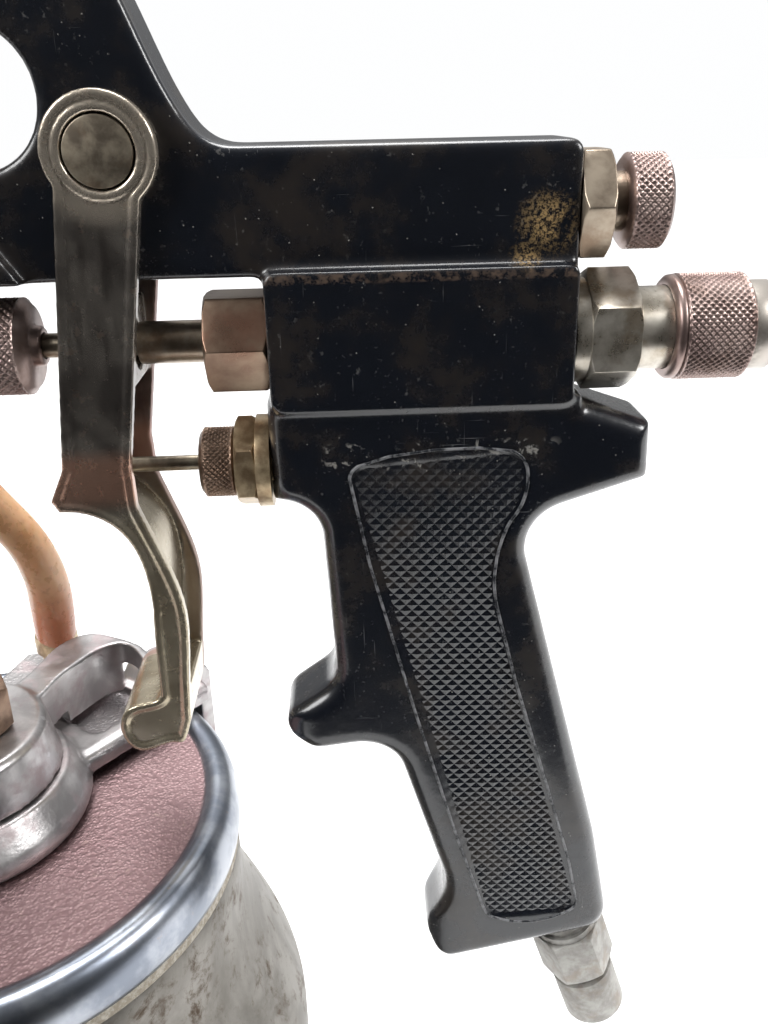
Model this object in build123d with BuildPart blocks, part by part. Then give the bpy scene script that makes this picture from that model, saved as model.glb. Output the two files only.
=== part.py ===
from build123d import *
from math import pi, radians, tan
import os

# Siphon-feed paint spray gun with a one-quart cup under its head.
# Millimetres, +Z up. The origin is the centre of the cup's base, on the cup's axis.
# The nozzle points along -X, the grip is at +X, and Y = 0 is the gun's middle plane.

# Driving dimensions
NEEDLE_Z = 206.5  # axis of the nozzle, needle and fluid knob
FAN_Z = 225.8  # axis of the fan control
VALVE_Z = 186.4  # axis of the air valve
PIVOT_X, PIVOT_Z = 43.3, 234.9  # trigger pivot
BODY_REAR = 110.9
BARREL_TOP, BARREL_BOTTOM = 235.2, 217.0
BLOCK_FRONT, BLOCK_BOTTOM = 64.2, 196.8
GUIDE_HEX, REAR_HEX, FAN_HEX, VALVE_HEX = 14.4, 16.8, 15.2, 13.4  # across flats
HEAD_FRONT, HEAD_REAR = -22.0, 14.0
BARREL_HALF, BLOCK_HALF, HANDLE_HALF = 7.0, 8.8, 8.0  # half thicknesses along Y
PANEL_DEPTH = 0.5  # of the grip panels
AIR_WAY_X, AIR_WAY_Y, AIR_WAY_R = 90.0, 4.7, 1.5  # the two bores from the air valve to the fan
NOSE_LENGTH = 10.2  # over which the finger rest and the heel narrow
REST_NOSE_X, HEEL_NOSE_X = 70.5, 96.5  # where they start to narrow
HOOK_X, HOOK_Z, HOOK_R = 25.5, 242.0, 9.7  # round opening of the hanging hook
HOOK_GAP = 8.0  # the hook's way in, over the barrel

ARM_IN, ARM_OUT = 7.35, 9.75  # inner and outer faces of the trigger's arms
PIVOT_R, BOSS_R, SCREW_HEAD_R = 3.0, 8.0, 4.8
RUNNING_FIT = 0.05  # radial gap of a turning or sliding fit
CLEAR = 0.4  # gap between pieces that move past each other

NEEDLE_R, SLEEVE_R = 1.9, 3.3
NEEDLE_LUG_REAR = 43.6  # rear face of the trigger's lug that draws the needle back
STEM_R = 1.25  # air valve stem

CUP_R, NECK_R, CUP_WALL = 62.2, 50.9, 1.5
MOUTH_Z = 106.0  # top of the cup
GASKET = 2.0
LID_DISC_R, LID_R = 45.2, 51.7
LID_TOP, LID_UNDER = 116.7, 114.0
YOKE_ANGLE = 50.0  # the yoke's arms lie this far from +X towards +Y, and opposite
YOKE_TOP = 126.0
FLANGE_R = 24.0  # of the yoke around its hub
HOOK_IN, HOOK_OUT = 52.4, 55.8  # inner and outer faces of the yoke's hooks
HUB_TOP = 136.0
INLET_R = 6.0  # fluid inlet stem
BARB_X, BARB_Y, PAD_TOP = 9.0, 39.5, 126.0
HOSE_R = 4.1

INLET_X, INLET_Z, INLET_TILT = 116.2, 86.0, 18.0  # air inlet under the grip

# Route of the pressure hose, from the lid's barb to the nipple on the head
HOSE_ROUTE = (
    (BARB_X, BARB_Y, 130.0),
    (9.9, 38.0, 140.0),
    (10.8, 35.0, 149.5),
    (9.2, 32.4, 159.0),
    (4.0, 31.2, 167.2),
    (-1.0, 30.0, 175.5),
    (-3.2, 27.6, 184.5),
    (-3.0, 24.5, 193.5),
)
NIPPLE_X, NIPPLE_Y, NIPPLE_Z = HOSE_ROUTE[-1]


def along_x(z, y=0):
    """Plane whose own x runs along +X on an axis at height z, and whose own y is the radius."""
    return Plane(origin=(0, y, z), x_dir=(1, 0, 0), z_dir=(0, -1, 0))


def facing_x(x, z):
    """Plane across the X axis at x, with its centre at height z."""
    return Plane(origin=(x, 0, z), x_dir=(0, 1, 0), z_dir=(1, 0, 0))


def level(z, x=0, y=0):
    """Horizontal plane at height z, with its centre at x, y."""
    return Plane(origin=(x, y, z), x_dir=(1, 0, 0), z_dir=(0, 0, 1))


def spun(plane, *corners):
    """Solid turned about the plane's own x axis from corners given as (distance, radius)."""
    with BuildPart() as turned:
        with BuildSketch(plane):
            with BuildLine():
                Polyline(*corners, close=True)
            make_face()
        revolve(axis=Axis(plane.origin, plane.x_dir))
    return turned.part


def rod(plane, start, end, radius):
    """Cylinder about the plane's own x axis, between two distances along it."""
    return spun(plane, (start, 0), (start, radius), (end, radius), (end, 0))


def hexagon(plane, start, end, across_flats, turn=0):
    """Hexagonal bar along the plane's own x axis, with its corners turned down at both ends."""
    across = Plane(plane.from_local_coords(Vector(start, 0, 0)), plane.y_dir, plane.x_dir)
    corner = across_flats / 2 * 1.13
    cut = 0.8
    with BuildPart() as bar:
        with BuildSketch(across):
            RegularPolygon(across_flats / 2, 6, major_radius=False, rotation=turn)
        extrude(amount=end - start)
        with BuildSketch(plane):
            with BuildLine():
                Polyline(
                    (start, 0), (start, corner - cut), (start + cut, corner + 0.5),
                    (end - cut, corner + 0.5), (end, corner - cut), (end, 0), close=True,
                )
            make_face()
        revolve(axis=Axis(plane.origin, plane.x_dir), mode=Mode.INTERSECT)
    return bar.part


def coil(plane, start, end, radius, wire, turns):
    """Open compression spring about the plane's own x axis."""
    foot = plane.from_local_coords(Vector(start + wire, 0, 0))
    length = end - start - 2 * wire
    with BuildPart() as spring:
        with BuildLine() as path:
            Helix(length / turns, length, radius, center=foot, direction=plane.x_dir)
        with BuildSketch(Plane(path.line @ 0, z_dir=path.line % 0)):
            Circle(wire / 2)
        sweep(path=path.line, is_frenet=True)
    return spring.part


def keep(builder, label):
    """Label the finished piece and write its STEP file."""
    builder.part.label = label
    export_step(builder.part, f"parts/{label}.step")


os.makedirs("parts", exist_ok=True)
NEEDLE_LINE = along_x(NEEDLE_Z)
FAN_LINE = along_x(FAN_Z)
VALVE_LINE = along_x(VALVE_Z)
CUP_LINE = Plane(origin=(0, 0, 0), x_dir=(0, 0, 1), z_dir=(0, -1, 0))  # own x runs up
INLET_LINE = Plane(
    origin=(INLET_X, 0, INLET_Z), x_dir=Vector(0, 0, -1).rotate(Axis.Y, -INLET_TILT),
    z_dir=(0, -1, 0),
)

NIPPLE_ARM = Plane(origin=(NIPPLE_X, 0, NEEDLE_Z), x_dir=(0, 1, 0), z_dir=(1, 0, 0))

# ---- Grip, part of the gun body's casting: its corners, each with its radius ----
GRIP_CORNERS = (
    ((63.3, 181.4), 0), ((70.8, 180.6), 7), ((72.4, 147.0), 6), ((60.6, 138.6), 4),
    ((67.5, 132.6), 4), ((81.8, 134.2), 8), ((92.6, 97.5), 14), ((87.6, 88.0), 5),
    ((90.6, 80.0), 3.2), ((124.6, 87.2), 5), ((120.4, 110), 60), ((103.2, 176.6), 8),
    ((124.3, 183.3), 0), ((124.0, 192.8), 0),
)
with BuildPart() as grip:
    with BuildSketch(Plane.XZ):
        with BuildLine():
            FilletPolyline(
                (63.3, 198), *(corner for corner, radius in GRIP_CORNERS), (112.2, 197),
                radius=[radius for corner, radius in GRIP_CORNERS],
            )
            Polyline((112.2, 197), (112.2, 198), (63.3, 198))
        make_face()
    extrude(amount=HANDLE_HALF, both=True)
    rims = [edge for side in grip.faces().filter_by(Axis.Y) for edge in side.edges()]
    fillet([edge for edge in rims if edge.center().Z < 197.4 and edge.center().X < 124.2], 3.5)
    # The finger rest and the heel narrow to rounded noses
    for nose, bottom, top in ((REST_NOSE_X, 128, 150), (HEEL_NOSE_X, 76, 95)):
        with BuildSketch(level(bottom)):
            with Locations((nose, 0)):
                Rectangle(2 * NOSE_LENGTH, 3 * HANDLE_HALF, align=(Align.MAX, Align.CENTER))
                Ellipse(NOSE_LENGTH, HANDLE_HALF + 0.1, mode=Mode.SUBTRACT)
        extrude(amount=top - bottom, mode=Mode.SUBTRACT)

# ---- Gun body: one casting with hook, barrel, head, block, grip and thumb rest ----
with BuildPart() as gun_body:
    # Barrel and hanging hook, open towards the front
    with BuildSketch(Plane.XZ):
        with BuildLine():
            Polyline((BODY_REAR, BARREL_TOP - 2), (BODY_REAR, BARREL_BOTTOM), (6, BARREL_BOTTOM),
                     (6, 250.5))
            Spline((6, 250.5), (9, 257), (24, 263.4), (40, 262.5), tangents=((0, 1), (1, 0)))
            Spline((40, 262.5), (46.5, 257.5), (54.2, 240), (62, BARREL_TOP),
                   tangents=((1, 0), (1, 0)))
            Line((62, BARREL_TOP), (BODY_REAR - 2, BARREL_TOP))
            RadiusArc((BODY_REAR - 2, BARREL_TOP), (BODY_REAR, BARREL_TOP - 2), 2)
        make_face()
        with Locations((HOOK_X, HOOK_Z)):
            Circle(HOOK_R, mode=Mode.SUBTRACT)
        with Locations((HOOK_X, BARREL_TOP)):
            Rectangle(2 * HOOK_X, HOOK_GAP, align=(Align.MAX, Align.MIN), mode=Mode.SUBTRACT)
    extrude(amount=BARREL_HALF, both=True)
    sides = gun_body.faces().filter_by(Axis.Y)
    fillet([edge for side in sides for edge in side.edges()], radius=0.9)
    # Block around the needle guide
    with BuildSketch(Plane.XZ):
        with Locations(((BLOCK_FRONT + BODY_REAR) / 2, (BLOCK_BOTTOM + BARREL_BOTTOM + 1) / 2)):
            RectangleRounded(BODY_REAR - BLOCK_FRONT, BARREL_BOTTOM + 1 - BLOCK_BOTTOM, 1.6)
    extrude(amount=BLOCK_HALF, both=True)
    # Grip with finger rest, heel and thumb rest
    add(grip.part)
    # Spray head: nozzle boss, shoulder up to the barrel and fluid inlet boss
    add(spun(
        NEEDLE_LINE, (HEAD_FRONT, 0), (HEAD_FRONT, 13.4), (-12, 13.4), (-12, 14.5), (10, 14.5),
        (HEAD_REAR, 11), (HEAD_REAR, 0),
    ))
    with BuildSketch(Plane.XZ):
        with BuildLine():
            Polyline((-12, 208), (-12, 226), (-6, BARREL_TOP), (18, BARREL_TOP),
                     (30, BARREL_BOTTOM), (HEAD_REAR, BARREL_BOTTOM), (HEAD_REAR, 208), close=True)
        make_face()
    extrude(amount=9, both=True)
    add(rod(CUP_LINE, 182, 203, 9.5))
    # Bores for the needle, packing nut, guide nut and rear bushing
    for start, end, radius in (
        (HEAD_FRONT, -14, 6.0), (-14, 8, 4.0), (8, HEAD_REAR, 5.0),
        (BLOCK_FRONT, 73, 5.5), (73, 80, 4.0), (80, 97, 2.8), (97, BODY_REAR + 1, 6.8),
    ):
        add(rod(NEEDLE_LINE, start, end, radius), mode=Mode.SUBTRACT)
    # Air way: fan bore, front ring of the head, valve chamber and grip passage
    for start, end, radius in ((-9, 60, 3.0), (60, 100, 4.5), (100, BODY_REAR + 1, 5.5)):
        add(rod(FAN_LINE, start, end, radius), mode=Mode.SUBTRACT)
    add(rod(CUP_LINE, 198, NEEDLE_Z, 3.0), mode=Mode.SUBTRACT)
    add(rod(CUP_LINE, 182, 198, INLET_R), mode=Mode.SUBTRACT)
    add(rod(VALVE_LINE, 63, 73, 4.8), mode=Mode.SUBTRACT)
    add(rod(VALVE_LINE, 73, 96, 5.0), mode=Mode.SUBTRACT)
    add(rod(INLET_LINE, -100, 4, 4.5), mode=Mode.SUBTRACT)
    add(rod(INLET_LINE, -12, 4, 5.6), mode=Mode.SUBTRACT)
    with BuildSketch(level(VALVE_Z)):
        with Locations((AIR_WAY_X, AIR_WAY_Y), (AIR_WAY_X, -AIR_WAY_Y)):
            Circle(AIR_WAY_R)
    extrude(amount=FAN_Z - VALVE_Z, mode=Mode.SUBTRACT)
    # Bore for the trigger's pivot screw
    with BuildSketch(Plane.XZ):
        with Locations((PIVOT_X, PIVOT_Z)):
            Circle(PIVOT_R)
    extrude(amount=BARREL_HALF + 1, both=True, mode=Mode.SUBTRACT)
    # Seat of the pressure nipple on the far side of the head
    add(rod(NIPPLE_ARM, 9, 15, 3.5), mode=Mode.SUBTRACT)
    # Inset grip panels on both sides
    for side in (1, -1):
        with BuildSketch(Plane.XZ.offset(side * (HANDLE_HALF - PANEL_DEPTH))):
            with BuildLine():
                Polyline((75.8, 185.6), (77.2, 187.6), (101.6, 189.3), (103.6, 187.6),
                         (104.3, 184.3), (103.4, 180.0), (101.2, 176.2), (99.4, 168.4),
                         (99.8, 161.9), (117.2, 95.2), (115.9, 92.9), (100.7, 92.2), (98.8, 95.0),
                         close=True)
            make_face()
        extrude(amount=side * 2, mode=Mode.SUBTRACT)
keep(gun_body, "gun_body")

# ---- Spray head ----
with BuildPart() as fluid_nozzle:
    add(spun(
        NEEDLE_LINE, (-37, 1.0), (-37, 2.0), (-31, 4.6), (-31, 6.4), (-27, 6.4), (-27, 8.0),
        (HEAD_FRONT, 8.0), (HEAD_FRONT, 6.0), (-14, 6.0), (-14, 3.2), (-29, 3.2), (-35, 1.0),
    ))
keep(fluid_nozzle, "fluid_nozzle")

with BuildPart() as air_baffle:
    add(spun(NEEDLE_LINE, (-27, 8.0), (-27, 12.0), (HEAD_FRONT, 12.8), (HEAD_FRONT, 8.0)))
    with BuildSketch(facing_x(-28, NEEDLE_Z)):
        with PolarLocations(10.2, 8):
            Circle(0.9)
    extrude(amount=7, mode=Mode.SUBTRACT)
keep(air_baffle, "air_baffle")

HORN_TIP = -44.0
with BuildPart() as air_cap:
    add(spun(
        NEEDLE_LINE, (-38, 2.5), (-38, 6), (-35, 12.6), (-29.5, 12.6), (-29.5, 13.6),
        (-27.5, 13.6), (-27.5, 10), (-30.5, 8.4), (-35.5, 5.2), (-36.2, 2.5),
    ))
    for side in (1, -1):
        with BuildSketch(along_x(NEEDLE_Z)):
            with BuildLine():
                Polyline((-35, side * 12.4), (-31, side * 12.4), (-31, side * 8.8),
                         (-36.2, side * 6.6), (HORN_TIP, side * 8.6), (HORN_TIP, side * 12.4),
                         close=True)
            make_face()
        extrude(amount=3, both=True)
keep(air_cap, "air_cap")

with BuildPart() as retaining_ring:
    add(spun(
        NEEDLE_LINE, (-32, 13.0), (-33, 14.4), (-32, 16.5), (-13.5, 16.5), (-12.4, 15.6),
        (-12.4, 13.8), (-29.1, 13.8), (-29.1, 14.0), (-30, 14.0), (-30, 13.0),
    ))
keep(retaining_ring, "retaining_ring")

with BuildPart() as needle_packing:
    add(spun(NEEDLE_LINE, (4, NEEDLE_R + 0.1), (4, 4), (8, 4), (8, NEEDLE_R + 0.1)))
keep(needle_packing, "needle_packing")

with BuildPart() as packing_nut:
    add(spun(
        NEEDLE_LINE, (8, 2.1), (8, 5), (HEAD_REAR, 5), (HEAD_REAR, 6.5), (15.4, 7.5),
        (26.6, 7.5), (27.6, 6.7), (27.6, 3.4), (29.2, 2.9), (29.2, 2.1),
    ))
keep(packing_nut, "packing_nut")

# ---- Needle with its sleeve, guide nut and spring ----
NEEDLE_END = 131.0
with BuildPart() as fluid_needle:
    add(spun(
        NEEDLE_LINE, (-37.4, 0), (-34, 0.85), (-29, NEEDLE_R), (100.5, NEEDLE_R), (100.5, 4.8),
        (103, 4.8), (103, NEEDLE_R), (NEEDLE_END, NEEDLE_R), (NEEDLE_END, 0),
    ))
keep(fluid_needle, "fluid_needle")

with BuildPart() as needle_sleeve:
    add(spun(
        NEEDLE_LINE, (NEEDLE_LUG_REAR + CLEAR, NEEDLE_R), (NEEDLE_LUG_REAR + CLEAR, SLEEVE_R),
        (68, SLEEVE_R), (68, NEEDLE_R),
    ))
keep(needle_sleeve, "needle_sleeve")

with BuildPart() as needle_guide_nut:
    add(hexagon(NEEDLE_LINE, 54.6, BLOCK_FRONT, GUIDE_HEX, 30))
    add(rod(NEEDLE_LINE, BLOCK_FRONT, 73, 5.5))
    add(rod(NEEDLE_LINE, 50, 74, SLEEVE_R + RUNNING_FIT), mode=Mode.SUBTRACT)
keep(needle_guide_nut, "needle_guide_nut")

NECK_END = 131.4
with BuildPart() as rear_bushing:
    add(rod(NEEDLE_LINE, 97, BODY_REAR, 6.8))
    add(rod(NEEDLE_LINE, BODY_REAR, 113.2, 8.2))
    add(hexagon(NEEDLE_LINE, 113.2, 120.8, REAR_HEX))
    add(rod(NEEDLE_LINE, 120.8, NECK_END, 6.5))
    add(rod(NEEDLE_LINE, 96, NECK_END + 1, 5.2), mode=Mode.SUBTRACT)
keep(rear_bushing, "rear_bushing")

KNOB_FRONT, KNOB_FACE, KNOB_END = 126.4, 138.8, 143.0
SPRING_SEAT = 138.0
with BuildPart() as fluid_knob:
    add(spun(
        NEEDLE_LINE, (KNOB_FRONT, 6.5 + RUNNING_FIT), (KNOB_FRONT, 7.6), (KNOB_FRONT + 0.8, 8.3),
        (KNOB_FACE - 0.8, 8.3), (KNOB_FACE, 7.6), (KNOB_FACE, 7.0), (KNOB_END - 0.6, 7.0),
        (KNOB_END, 6.4), (KNOB_END, 0), (SPRING_SEAT, 0), (SPRING_SEAT, 4.6), (NECK_END + 1, 4.6),
        (NECK_END + 1, 6.5 + RUNNING_FIT),
    ))
keep(fluid_knob, "fluid_knob")

with BuildPart() as needle_spring:
    add(coil(NEEDLE_LINE, 103.1, SPRING_SEAT - 0.1, 3.4, 0.9, 11))
keep(needle_spring, "needle_spring")

# ---- Fan control ----
FAN_STEM_R, FAN_SEAT = 4.4, 122.0
with BuildPart() as fan_bushing:
    add(rod(FAN_LINE, 100, BODY_REAR, 5.5))
    add(hexagon(FAN_LINE, BODY_REAR, 115.7, FAN_HEX, 30))
    add(rod(FAN_LINE, 99, 120, FAN_STEM_R + RUNNING_FIT), mode=Mode.SUBTRACT)
keep(fan_bushing, "fan_bushing")

FAN_KNOB_FRONT, FAN_KNOB_END = 118.2, 124.6
with BuildPart() as fan_stem:
    add(spun(
        FAN_LINE, (61, 0), (67, 2.4), (100, 2.4), (100, FAN_STEM_R), (FAN_SEAT, FAN_STEM_R),
        (FAN_SEAT, 0),
    ))
keep(fan_stem, "fan_stem")

with BuildPart() as fan_knob:
    add(spun(
        FAN_LINE, (FAN_KNOB_FRONT, FAN_STEM_R), (FAN_KNOB_FRONT, 6.3), (FAN_KNOB_FRONT + 0.8, 7.0),
        (FAN_KNOB_END - 0.8, 7.0), (FAN_KNOB_END, 6.3), (FAN_KNOB_END, 0), (FAN_SEAT, 0),
        (FAN_SEAT, FAN_STEM_R),
    ))
keep(fan_knob, "fan_knob")

# ---- Air valve ----
with BuildPart() as air_valve_body:
    add(hexagon(VALVE_LINE, 57.6, 61.0, VALVE_HEX))
    add(rod(VALVE_LINE, 61.0, 63.3, 7.6))
    add(rod(VALVE_LINE, 63.3, 72, 4.8))
    add(rod(VALVE_LINE, 57, 73, STEM_R + 0.4), mode=Mode.SUBTRACT)
keep(air_valve_body, "air_valve_body")

with BuildPart() as air_valve_nut:
    add(spun(
        VALVE_LINE, (51.8, STEM_R + RUNNING_FIT), (51.8, 5.2), (52.4, 5.75), (57.0, 5.75),
        (57.6, 5.2), (57.6, STEM_R + RUNNING_FIT),
    ))
keep(air_valve_nut, "air_valve_nut")

STEM_FRONT = 34.6
with BuildPart() as air_valve_stem:
    add(spun(
        VALVE_LINE, (STEM_FRONT, 0), (STEM_FRONT, 0.8), (STEM_FRONT + 0.5, STEM_R),
        (79, STEM_R), (79, 0),
    ))
keep(air_valve_stem, "air_valve_stem")

with BuildPart() as air_valve_poppet:
    add(spun(VALVE_LINE, (72.4, STEM_R), (72.4, 3.6), (74, 4.3), (76, 4.3), (76, STEM_R)))
keep(air_valve_poppet, "air_valve_poppet")

with BuildPart() as air_valve_spring:
    add(coil(VALVE_LINE, 76.1, 95.9, 3.2, 0.8, 7))
keep(air_valve_spring, "air_valve_spring")

# ---- Trigger: two arms, a channel for the fingers that ends in a forward curl, and a lug ----
WEB_TOP = 192.0
with BuildPart() as trigger:
    with BuildSketch(Plane.XZ):
        with Locations((PIVOT_X, PIVOT_Z)):
            Circle(BOSS_R)
        with BuildLine():
            Polyline((36.6, 231), (31.6, 189), (29.2, 184.0), (30.2, 182.2))
            Spline((30.2, 182.2), (36.4, 180.8), (41.4, 174.6), (42.8, 164), (42.2, 147.5),
                   tangents=((1, 0), (-0.02, -1)))
            Spline((42.2, 147.5), (37.0, 145.6), (34.6, 141.2), (37.4, 136.6), (43.4, 138.0),
                   (46.8, 142.5), tangents=((-0.6, -1), (0.25, 1)))
            Spline((46.8, 142.5), (47.4, 152), (47.9, 163.8), (45.4, 173.6), (42.3, 182.5),
                   tangents=((0.05, 1), (-0.3, 1)))
            Polyline((42.3, 182.5), (42.1, 189), (48.6, 231), (36.6, 231))
        make_face()
    extrude(amount=ARM_OUT, both=True)
    with BuildSketch(Plane.XZ):
        with BuildLine():
            Polyline((20, 250), (20, WEB_TOP), (34.2, WEB_TOP), (33.4, 184.8))
            Spline((33.4, 184.8), (40.0, 180.4), (44.2, 173.6), (45.0, 164), (44.4, 148.5),
                   tangents=((1, -0.35), (-0.02, -1)))
            Polyline((44.4, 148.5), (60, 148.5), (60, 250), (20, 250))
        make_face()
    extrude(amount=ARM_IN, both=True, mode=Mode.SUBTRACT)
    with BuildSketch(Plane.XZ):
        with Locations((NEEDLE_LUG_REAR - 1.7, NEEDLE_Z + 0.4)):
            Rectangle(3.4, 12)
    extrude(amount=ARM_IN + 0.5, both=True)
    with BuildSketch(facing_x(30, NEEDLE_Z)):
        SlotCenterToCenter(3, 2 * (NEEDLE_R + 0.6), rotation=90)
    extrude(amount=20, mode=Mode.SUBTRACT)
    with BuildSketch(Plane.XZ):
        with Locations((PIVOT_X, PIVOT_Z)):
            Circle(PIVOT_R + RUNNING_FIT)
    extrude(amount=12, both=True, mode=Mode.SUBTRACT)
    for side in (1, -1):
        with BuildSketch(Plane.XZ.offset(side * (ARM_OUT - 1.5))):
            with Locations((PIVOT_X, PIVOT_Z)):
                Circle(SCREW_HEAD_R + 0.3)
        extrude(amount=side * 3, mode=Mode.SUBTRACT)
keep(trigger, "trigger")

# The pivot screw passes through the body from -Y and its nut closes it at +Y
HEAD_THICK = 1.1
PIVOT_LINE = Plane(origin=(PIVOT_X, 0, PIVOT_Z), x_dir=(0, 1, 0), z_dir=(1, 0, 0))
NUT_SEAT = ARM_OUT - HEAD_THICK
with BuildPart() as trigger_screw:
    add(rod(PIVOT_LINE, -ARM_OUT, -NUT_SEAT, SCREW_HEAD_R))
    add(rod(PIVOT_LINE, -NUT_SEAT, NUT_SEAT, PIVOT_R))
keep(trigger_screw, "trigger_screw")

with BuildPart() as trigger_nut:
    add(rod(PIVOT_LINE, NUT_SEAT, ARM_OUT, SCREW_HEAD_R))
keep(trigger_nut, "trigger_nut")

# ---- Air inlet under the grip ----
with BuildPart() as air_inlet:
    add(rod(INLET_LINE, -12, 4, 5.6))
    add(rod(INLET_LINE, 2.6, 4, 6.4))
    add(hexagon(INLET_LINE, 4, 15, 13.4))
    add(rod(INLET_LINE, 15, 17, 5.2))
    add(rod(INLET_LINE, 17, 28, 6.4))
    add(rod(INLET_LINE, -13, 29, 3.4), mode=Mode.SUBTRACT)
keep(air_inlet, "air_inlet")

# ---- Fluid inlet stem, coupling nuts and pickup tube, all on the cup's axis ----
with BuildPart() as fluid_inlet_stem:
    add(spun(
        CUP_LINE, (110.5, 3), (110.5, 9), (LID_UNDER, 9), (LID_UNDER, INLET_R), (198, INLET_R),
        (198, 3),
    ))
keep(fluid_inlet_stem, "fluid_inlet_stem")

with BuildPart() as stem_lock_nut:
    add(hexagon(CUP_LINE, HUB_TOP + CLEAR, 145, 22))
    add(rod(CUP_LINE, HUB_TOP, 146, INLET_R), mode=Mode.SUBTRACT)
keep(stem_lock_nut, "stem_lock_nut")

with BuildPart() as head_coupling_nut:
    add(hexagon(CUP_LINE, 169, 182, 19))
    add(rod(CUP_LINE, 168, 183, INLET_R), mode=Mode.SUBTRACT)
keep(head_coupling_nut, "head_coupling_nut")

TUBE_R = 4.0
with BuildPart() as pickup_tube:
    with BuildLine() as tube_line:
        FilletPolyline((0, 0, 110.5), (0, 0, 48), (-27, 0, 12), radius=24)
    with BuildSketch(Plane(tube_line.line @ 0, z_dir=tube_line.line % 0)):
        Circle(TUBE_R)
        Circle(TUBE_R - 1, mode=Mode.SUBTRACT)
    sweep(path=tube_line.line)
keep(pickup_tube, "pickup_tube")

STRAINER_LINE = Plane(
    origin=tube_line.line @ 1, x_dir=tube_line.line % 1, z_dir=(0, -1, 0)
)
with BuildPart() as pickup_strainer:
    add(spun(
        STRAINER_LINE, (-7, TUBE_R), (-7, 5.2), (3, 5.2), (3, 0), (1.4, 0), (1.4, TUBE_R),
    ))
keep(pickup_strainer, "pickup_strainer")

# ---- Cup with the pins its yoke hooks under, gasket and lid ----
PIN_R, PIN_Z = 3.0, 98.5
PIN_LINES = [
    Plane(origin=(0, 0, PIN_Z), x_dir=Vector(1, 0, 0).rotate(Axis.Z, turn),
          z_dir=Vector(0, -1, 0).rotate(Axis.Z, turn))
    for turn in (YOKE_ANGLE, YOKE_ANGLE + 180)
]
with BuildPart() as cup:
    with BuildSketch(Plane.XZ):
        with BuildLine():
            Line((0, 0), (53, 0))
            RadiusArc((53, 0), (60.6, 7), -7.6)
            Line((60.6, 7), (CUP_R, 40))
            Line((CUP_R, 40), (CUP_R, 57))
            Spline((CUP_R, 57), (NECK_R, 96), tangents=((0, 1), (0, 1)),
                   tangent_scalars=(0.95, 0.75))
            Polyline((NECK_R, 96), (NECK_R, MOUTH_Z), (45.5, MOUTH_Z), (45.5, MOUTH_Z - 1.5),
                     (NECK_R - CUP_WALL, MOUTH_Z - 1.5), (NECK_R - CUP_WALL, 96))
            Spline((NECK_R - CUP_WALL, 96), (CUP_R - CUP_WALL, 57),
                   tangents=((0, -1), (0, -1)), tangent_scalars=(0.75, 0.95))
            Polyline((CUP_R - CUP_WALL, 57), (CUP_R - CUP_WALL, 40), (59.2, 8))
            RadiusArc((59.2, 8), (52.6, 1.8), 6.6)
            Polyline((52.6, 1.8), (0, 1.8), (0, 0))
        make_face()
    revolve(axis=Axis.Z)
    for pin_line in PIN_LINES:
        add(rod(pin_line, 45, 56, PIN_R), mode=Mode.SUBTRACT)
keep(cup, "cup")

with BuildPart() as cup_pins:
    for pin_line in PIN_LINES:
        add(rod(pin_line, 47.6, HOOK_OUT + 1, PIN_R))
        add(rod(pin_line, 47.6, 49.1, PIN_R + 1.4))
keep(cup_pins, "cup_pins")

with BuildPart() as lid_gasket:
    add(spun(CUP_LINE, (MOUTH_Z, 45.5), (MOUTH_Z, 51.1), (MOUTH_Z + GASKET, 51.1),
             (MOUTH_Z + GASKET, 45.5)))
keep(lid_gasket, "lid_gasket")

RIM_BOTTOM = MOUTH_Z + GASKET
with BuildPart() as cup_lid:
    with BuildSketch(Plane.XZ):
        with BuildLine():
            Polyline((INLET_R, LID_UNDER), (INLET_R, LID_TOP), (LID_DISC_R, LID_TOP))
            Spline((LID_DISC_R, LID_TOP), (48.2, 117.9), (50.9, 115.2), (LID_R, 110.8),
                   tangents=((0.6, 1), (0, -1)))
            Polyline((LID_R, 110.8), (LID_R - 0.5, RIM_BOTTOM), (44, RIM_BOTTOM),
                     (43, LID_UNDER), (INLET_R, LID_UNDER))
        make_face()
    revolve(axis=Axis.Z)
    # Raised pad that carries the pressure barb
    with BuildSketch(level(LID_TOP - 1)):
        with BuildLine():
            Polyline((-6, 17), (9.4, 17), (9.8, 28), (15.4, 38.5))
            ThreePointArc((15.4, 38.5), (10, 44.6), (0, 43))
            Line((0, 43), (-6, 17))
        make_face()
        Circle(FLANGE_R + CLEAR, mode=Mode.SUBTRACT)
    extrude(amount=PAD_TOP - LID_TOP + 1)
    with BuildSketch(level(LID_UNDER - 1, BARB_X, BARB_Y)):
        Circle(2.6)
    extrude(amount=20, mode=Mode.SUBTRACT)
keep(cup_lid, "cup_lid")

BARB_LINE = Plane(origin=(BARB_X, BARB_Y, 0), x_dir=(0, 0, 1), z_dir=(0, -1, 0))
with BuildPart() as lid_barb:
    add(rod(BARB_LINE, LID_UNDER, PAD_TOP, 2.6))
    add(rod(BARB_LINE, PAD_TOP, HOSE_ROUTE[0][2], 3.5))
    add(rod(BARB_LINE, LID_UNDER - 1, PAD_TOP + 5, 1.2), mode=Mode.SUBTRACT)
keep(lid_barb, "lid_barb")

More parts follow.
